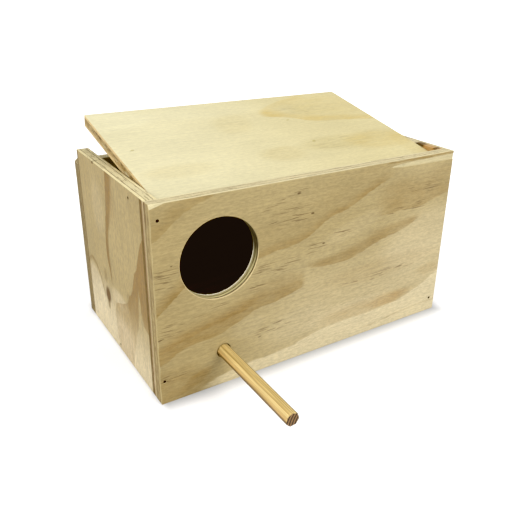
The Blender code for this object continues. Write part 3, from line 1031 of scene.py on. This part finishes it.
def cut(piece, cutter):
    cutting = piece.modifiers.new("cut", "BOOLEAN")
    cutting.operation = "DIFFERENCE"
    cutting.solver = "MANIFOLD"
    cutting.object = cutter
    take(piece)
    bpy.ops.object.modifier_apply(modifier="cut")
    bpy.data.objects.remove(cutter)


def cut_entrance(front, high):
    """The bored entrance: eased at its front rim, and frayed at its rear rim, where the saw broke through."""
    base = Vector((ENTRANCE["x"], high.y, ENTRANCE["z"]))
    radius, flare = ENTRANCE["radius"], ENTRANCE["flare"]
    broken = radius + BREAK_REACH
    stations = [(-OVERRUN, broken), (0, broken), (BREAK_DEPTH, radius + FRAY / 2)]
    for depth in GLUE_DEPTHS:
        for step in (-2, 0, 2):
            stations.append((depth + step * GLUE_GROOVE, radius if step else radius + GLUE_GROOVE))
    stations += [(SHEET - flare, radius), (SHEET, radius + flare), (SHEET + OVERRUN, radius + flare)]
    cutter = turn_cutter("entrance_cutter", base, FORWARD, stations, ENTRANCE["sides"])

    wear(cutter, "fray", lambda vert: abs(vert.co.y - high.y) < BREAK_DEPTH * 1.01, FRAY, FRAY_GRAIN)
    cut(front, cutter)


def cut_socket(front, high):
    low_perch, high_perch = corners_of("perch")
    centre = (low_perch + high_perch) / 2
    radius = (high_perch.x - low_perch.x) / 2 + SOCKET_CLEARANCE
    eased = radius + ARRIS / 2
    stations = [(-OVERRUN, radius), (SHEET - ARRIS / 2, radius), (SHEET, eased), (SHEET + OVERRUN, eased)]
    base = Vector((centre.x, high.y, centre.z))
    cut(front, turn_cutter("socket_cutter", base, FORWARD, stations, SOCKET["sides"]))


def cut_nail_hole(piece, node):
    """A nail's hole: its shank's and head's bores, and the dent that the hammer left round them."""
    low, high = corners_of(node)
    span, centre = high - low, (low + high) / 2
    axis = max(range(3), key=lambda i: span[i])
    way = Vector((0, 0, 0))
    way[axis] = 1 if centre[axis] > 0 else -1
    head = centre + way * span[axis] / 2
    shank, wide = NAIL_SHANK + NAIL_CLEARANCE, min(span) / 2 + NAIL_CLEARANCE
    stations = [
        (-span[axis] - NAIL_CLEARANCE, shank), (-NAIL_NECK, shank), (-NAIL_NECK + NAIL_CLEARANCE, wide),
        (NAIL_PUNCH * 0.72, wide), (NAIL_PUNCH, NAIL_DENT), (NAIL_PUNCH + OVERRUN, NAIL_DENT),
    ]
    cut(piece, turn_cutter("nail_cutter", head, way, stations, NAIL_SIDES))


def cut_nail_holes(piece, low, high, nails):
    """The holes of all the nails whose boxes overlap the board's."""
    for node in nails:
        nail_low, nail_high = corners_of(node)
        if all(nail_low[i] < high[i] and nail_high[i] > low[i] for i in range(3)):
            cut_nail_hole(piece, node)


def tear_out(piece, centre, half, grain_size):
    """Tears an uneven egg-shaped void out of the sheet; half holds its half lengths in millimetres."""
    half = Vector(half) * MM
    bpy.ops.object.select_all(action="DESELECT")
    bpy.ops.mesh.primitive_ico_sphere_add(subdivisions=4, radius=1, location=centre, scale=half)
    egg = settle("void_cutter")
    wear(egg, "tear", lambda vert: True, min(half) * 0.7, grain_size)
    cut(piece, egg)


def cut_splinter(front, low):
    """The long splinter that came off along the grain, under the top edge at the right."""
    tip = Vector((61 * MM, low.y - OVERRUN, 137.1 * MM))
    # Distance from the tip, height and depth
    stations = [(0, 0.4, 0.1), (3, 1.5, 0.3), (10, 2.9, 0.5), (26, 4.1, 0.6), (67, 4.9, 0.6)]
    start, height, depth = [value * MM for value in stations[0]]
    corner = Vector((MM, OVERRUN + depth, height / 2))
    splinter = saw_block("splinter_cutter", tip - Vector((0, 0, height / 2)), tip + corner)
    open_edit(splinter)
    for station in stations[1:]:
        place, new_height, new_depth = [value * MM for value in station]
        pick(splinter, "FACE", lambda face: face.normal.x > 0.9)
        bpy.ops.mesh.extrude_region_move(TRANSFORM_OT_translate={"value": (place - start, 0, 0)})
        bpy.ops.transform.resize(
            value=(1, (OVERRUN + new_depth) / (OVERRUN + depth), new_height / height),
            center_override=tip + Vector((place + MM, 0, 0)),
        )
        start, height, depth = place, new_height, new_depth
    mark_cells(splinter, 0, start)
    close_edit()
    cut(front, splinter)


def sand_corner(front, low, high):
    """The sanded-off top left corner of the front."""
    a = Vector((low.x, low.y, high.z - 3.2 * MM))
    b = Vector((low.x + 11 * MM, low.y, high.z))
    c = Vector((low.x, low.y + 1.6 * MM, high.z))
    normal = (b - a).cross(c - a).normalized()
    open_edit(front)
    trim(a, normal if normal.z > 0 else -normal)
    close_edit()


def hand_over(piece, node, material, body="box"):
    """Dresses a finished piece and puts it in its node's stead."""
    take(piece)
    bpy.ops.object.shade_smooth_by_angle(angle=SMOOTH_ANGLE)
    piece.data.materials.clear()
    piece.data.materials.append(material)
    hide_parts(node)
    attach(piece, body)


def make_board(name, nails):
    """A board that is fixed to the box, with its nail holes and with what has broken or worn off it."""
    low, high = corners_of(name)
    board = saw_board(name, low, high)
    if name == "front_panel":
        cut_entrance(board, high)
        cut_socket(board, high)
    cut_nail_holes(board, low, high, nails)
    if name == "front_panel":
        cut_splinter(board, low)
        sand_corner(board, low, high)
    if name == "back_panel":
        open_edit(board)
        trim(Vector((low.x + BACK_CHIP, 0, high.z)), (-1, 0, 1))
        close_edit()
    if name == "left_side_panel":
        nick = Vector((low.x + 0.2 * MM, 28.5 * MM, high.z - 0.8 * MM))
        tear_out(board, nick, (1.0, 2.6, 0.6), 1.5 * MM)
    if name == "right_side_panel":
        for y, z, half in ((-46.5, 140.6, (2.2, 5.5, 1.9)), (-64.2, 141.6, (1.6, 1.9, 1.0))):
            tear_out(board, Vector((low.x, y * MM, z * MM)), half, 2 * MM)
    hand_over(board, name, finish_ply(name, low, high))


def shut_lid_corners(pivot, ajar):
    """The lid panel's corners, read from its node turned back to shut."""
    back = Matrix.Rotation(-ajar, 3, "X")
    places = [pivot + back @ (vert.co - pivot) for vert in frame["nodes"]["lid_panel"].data.vertices]
    return [Vector([end(place[i] for place in places) for i in range(3)]) for end in (min, max)]


def make_lid(nails):
    """The lid, shaped shut and then turned to where it stands ajar."""
    joint = frame["joints"][0]
    pivot, ajar = Vector(joint["pos_m"]), -math.radians(joint["range_deg"][0])
    low, high = shut_lid_corners(pivot, ajar)
    lid = saw_board("lid_panel", low, high)
    for along, length, height in ((96.4, 5, 1.4), (72, 13, 1.0), (47.3, 8, 1.5), (28, 10, 0.8)):
        centre = pivot + Vector((low.x - pivot.x, along * MM, height * MM))
        tear_out(lid, centre, (2.5, length / 2, 1.2), 2 * MM)
    cut_nail_holes(lid, low, high, [node for node in nails if "pivot" in node])
    open_edit(lid)
    pick_all()
    bpy.ops.transform.rotate(value=-ajar, orient_axis="X", center_override=pivot)
    close_edit()
    material = finish_ply("lid_panel", low, high, turned=(pivot, (ajar, 0, 0)))
    hand_over(lid, "lid_panel", material, body="lid")


def make_perch():
    """The dowel, a little out of round, with its free end's rim trimmed by knife."""
    low, high = corners_of("perch")
    centre = (low + high) / 2
    radius, length = (high.x - low.x) / 2, high.y - low.y
    root = Vector((centre.x, high.y, centre.z))
    steps = round(length / (3 * MM))
    stations = [(0, radius - 0.5 * MM), (0.5 * MM, radius)]
    stations += [(length * i / steps, radius) for i in range(1, steps + 1)]
    perch = turn_cutter("perch_dowel", root, FORWARD, stations, DOWEL_SIDES)
    wear(perch, "unevenness", lambda vert: True, 0.18 * MM, 14 * MM)
    open_edit(perch)
    for i in range(DOWEL_CUTS):
        turn = 2 * math.pi * (i + 0.35) / DOWEL_CUTS
        side = Vector((math.cos(turn), 0, math.sin(turn)))
        trim(root + FORWARD * length + side * (radius - 0.6 * MM), (side + FORWARD * 0.45).normalized())
    close_edit()
    material = finish_dowel(centre, centre + Vector((21 * MM, 0, -9 * MM)))
    hand_over(perch, "perch", material)


def link_new(name, data, place, turn):
    made = bpy.data.objects.new(name, data)
    bpy.context.scene.collection.objects.link(made)
    made.location, made.rotation_euler = place, turn
    return made


def add_camera():
    data = bpy.data.cameras.new("camera")
    data.lens = CAMERA_LENS
    data.shift_x, data.shift_y = CAMERA_SHIFT
    data.clip_start = 0.01
    turn = [math.radians(angle) for angle in CAMERA_TURN]
    bpy.context.scene.camera = link_new("camera", data, CAMERA_PLACE, turn)


def add_softbox(name, place, aim_height, size, power):
    """A square soft light that looks at the box's axis at a height."""
    data = bpy.data.lights.new(name, "AREA")
    data.shape = "SQUARE"
    data.size, data.energy = size, power
    way = Vector((0, 0, aim_height)) - Vector(place)
    link_new(name, data, place, way.to_track_quat("-Z", "Y").to_euler())


def light_studio():
    world = bpy.data.worlds.new("studio")
    world.use_nodes = True
    g = Graph(world.node_tree)
    seen = g.node("ShaderNodeLightPath").outputs["Is Camera Ray"]
    sky = world.node_tree.nodes["Background"]
    sky.inputs["Color"].default_value = (1, 1, 1, 1)
    g.feed(sky.inputs["Strength"], g.mix_value(seen, 0.55, 1.0))
    bpy.context.scene.world = world
    add_softbox("overhead", (-1.3, 0.2, 1.6), 0.1, 1.4, 12)
    add_softbox("key", (0.9, -1.7, 1.6), 0.07, 1.5, 35)
    add_softbox("fill", (-1.7, -0.7, 0.7), 0.07, 1.0, 12)
    add_softbox("rear", (0.9, 1.2, 1.5), 0.1, 1.0, 4)
    view = bpy.context.scene.view_settings
    view.view_transform = "Standard"
    view.use_curve_mapping = True
    # Shadows fall off to a warm black
    for channel, black in enumerate((0.0075, 0.0037, 0.0021)):
        line = view.curve_mapping.curves[channel].points
        line[0].location = (0, black)
        for light, shown in ((0.022, black + 0.0006), (0.05, 0.03), (0.12, 0.112), (0.3, 0.3)):
            line.new(light, shown).handle_type = "VECTOR"
    view.curve_mapping.update()


def lay_floor():
    """White paper: pure white to the camera away from the box, and duller in what it throws back.

    A soft contact shadow lies along the box's front and right foot.
    """
    bpy.ops.object.select_all(action="DESELECT")
    bpy.ops.mesh.primitive_plane_add(size=60, location=(0, 0, -0.0002))
    floor = bpy.context.object
    floor.name = "studio_floor"
    paper, g, shader = new_material("floor_paper", 0.9)
    seen = g.node("ShaderNodeLightPath").outputs["Is Camera Ray"]
    place = g.node("ShaderNodeTexCoord").outputs["Object"]
    x, y, _ = g.split(place)
    aside, before = (g.most(g.less(g.size(value), half), 0.0) for value, half in zip((x, y), FOOT))
    near = g.ramp(g.length(aside, before), -3, 15, 0.56, 0.0)
    lit = g.invert(g.times(near, g.ramp(x, -131, -122)))
    tone = g.mix_value(seen, 0.72, g.times(lit, 0.7))
    g.feed(shader.inputs["Base Color"], g.vector(tone, tone, tone))
    away = g.node("ShaderNodeVectorMath", operation="LENGTH")
    g.feed(away.inputs[0], place)
    shader.inputs["Emission Color"].default_value = (1, 1, 1, 1)
    glow = g.rise(away.outputs["Value"], 0.15, 0.6, 0.44, 0.7)
    g.feed(shader.inputs["Emission Strength"], g.times(seen, glow, lit))
    floor.data.materials.append(paper)


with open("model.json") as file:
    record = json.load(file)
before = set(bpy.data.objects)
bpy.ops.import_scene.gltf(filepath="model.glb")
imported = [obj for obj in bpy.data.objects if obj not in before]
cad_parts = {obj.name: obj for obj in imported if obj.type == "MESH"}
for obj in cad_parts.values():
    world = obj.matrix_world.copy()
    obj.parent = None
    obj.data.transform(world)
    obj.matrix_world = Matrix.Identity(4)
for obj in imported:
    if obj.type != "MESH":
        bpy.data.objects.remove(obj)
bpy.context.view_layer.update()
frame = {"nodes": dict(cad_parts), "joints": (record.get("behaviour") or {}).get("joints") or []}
bpy.ops.object.select_all(action="DESELECT")
for row in GROUPS:
    make_group(*row)
nails = [name for name in frame["nodes"] if "nail" in name]
steel = finish_nail()
for name in nails:
    frame["nodes"][name].data.materials.clear()
    frame["nodes"][name].data.materials.append(steel)
for name in ("front_panel", "left_side_panel", "right_side_panel", "back_panel", "floor_panel"):
    make_board(name, nails)
make_lid(nails)
make_perch()
add_camera()
light_studio()
lay_floor()
